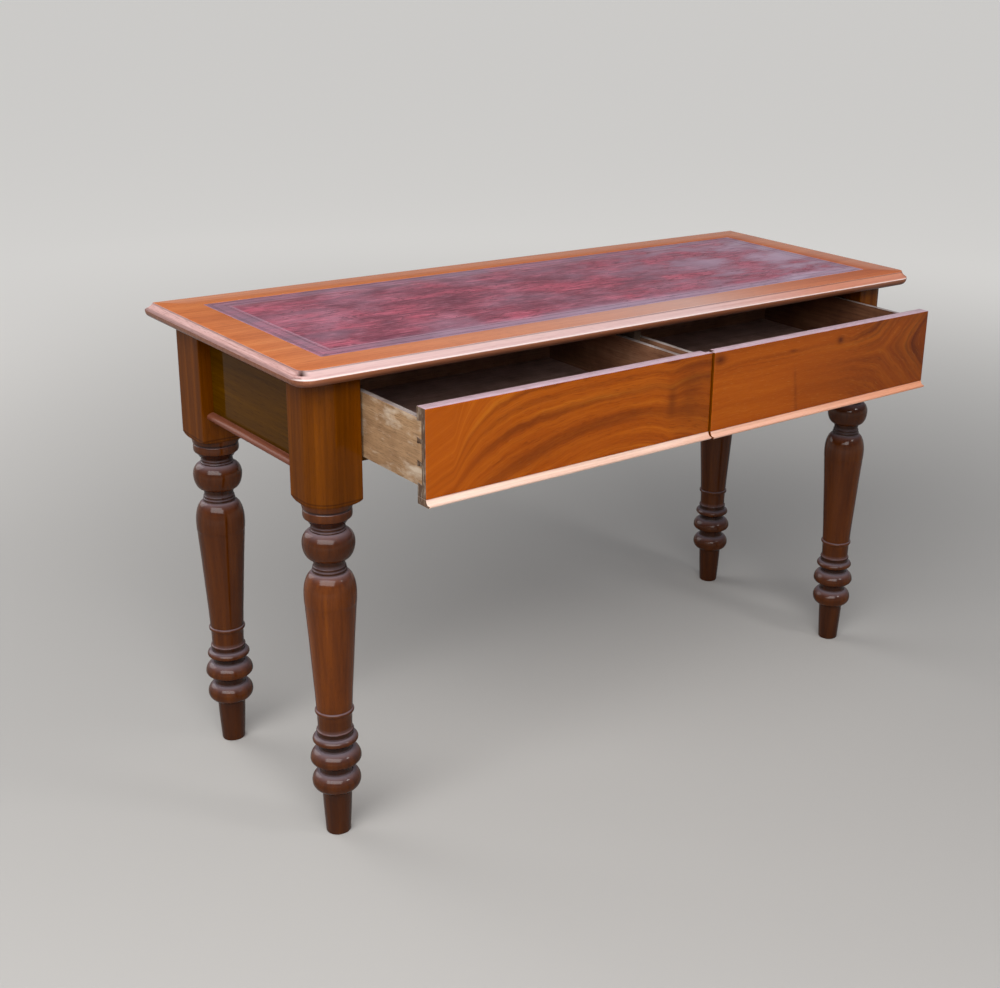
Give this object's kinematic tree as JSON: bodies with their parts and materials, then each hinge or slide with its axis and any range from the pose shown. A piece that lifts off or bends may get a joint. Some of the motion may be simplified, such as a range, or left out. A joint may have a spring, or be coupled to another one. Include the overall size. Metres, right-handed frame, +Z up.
{
  "type": "writing desk",
  "caption": "Antique mahogany writing desk with turned legs, a leather-lined moulded top and sliding frieze drawers, which stand drawn out.",
  "frame": {"origin": "middle of the footprint of the whole desk with its drawers drawn out as pictured, at floor level", "axes": "+X along the desk, to the right as seen from the front; the drawers face -Y and open towards it; +Z up"},
  "size_m": [1.2606, 0.6212, 0.75],
  "materials": {
    "top_mahogany": "french polished, orange-brown, glossy",
    "leg_mahogany": "french polished, dark red-brown, glossy",
    "panel_mahogany": "french polished, dark brown, glossy",
    "front_mahogany": "figured mahogany, french polished, glossy",
    "mould_mahogany": "french polished mouldings, glossy",
    "aged_pine": "bare aged pine, dull",
    "drawer_lining": "bare aged ash, dull",
    "drawer_floor": "bare greyish aged pine, dull",
    "oxblood_leather": "waxed oxblood hide with a blind-tooled border, satin"
  },
  "bodies": {
    "carcass": {"top_board": "top_mahogany", "leather_inset": "oxblood_leather", "front_left_leg": "leg_mahogany", "front_right_leg": "leg_mahogany", "back_left_leg": "leg_mahogany", "back_right_leg": "leg_mahogany", "left_end_panel": "panel_mahogany", "right_end_panel": "panel_mahogany", "back_panel": "panel_mahogany", "left_end_bead": "mould_mahogany", "right_end_bead": "mould_mahogany", "lower_front_rail": "panel_mahogany", "upper_front_rail": "panel_mahogany", "drawer_divider": "aged_pine", "left_runner": "aged_pine", "right_runner": "aged_pine", "centre_runner": "aged_pine", "left_kicker": "aged_pine", "right_kicker": "aged_pine", "centre_kicker": "aged_pine", "left_guide": "aged_pine", "right_guide": "aged_pine", "centre_guide": "aged_pine", "left_glue_block_1": "aged_pine", "left_glue_block_2": "aged_pine", "right_glue_block_1": "aged_pine", "right_glue_block_2": "aged_pine", "back_glue_block_1": "aged_pine", "back_glue_block_2": "aged_pine", "back_glue_block_3": "aged_pine", "back_glue_block_4": "aged_pine"},
    "left_drawer": {"left_drawer_front": "front_mahogany", "left_drawer_lip": "mould_mahogany", "left_drawer_outer_side": "drawer_lining", "left_drawer_inner_side": "drawer_lining", "left_drawer_back": "drawer_lining", "left_drawer_floor": "drawer_floor"},
    "right_drawer": {"right_drawer_front": "front_mahogany", "right_drawer_lip": "mould_mahogany", "right_drawer_outer_side": "drawer_lining", "right_drawer_inner_side": "drawer_lining", "right_drawer_back": "drawer_lining", "right_drawer_floor": "drawer_floor"}
  },
  "joints": [
    {"name": "left_drawer_slide", "type": "slide", "parent": "carcass", "child": "left_drawer", "axis": [0, -1, 0], "range_m": [-0.155, 0.145]},
    {"name": "right_drawer_slide", "type": "slide", "parent": "carcass", "child": "right_drawer", "axis": [0, -1, 0], "range_m": [-0.158, 0.142]}
  ]
}
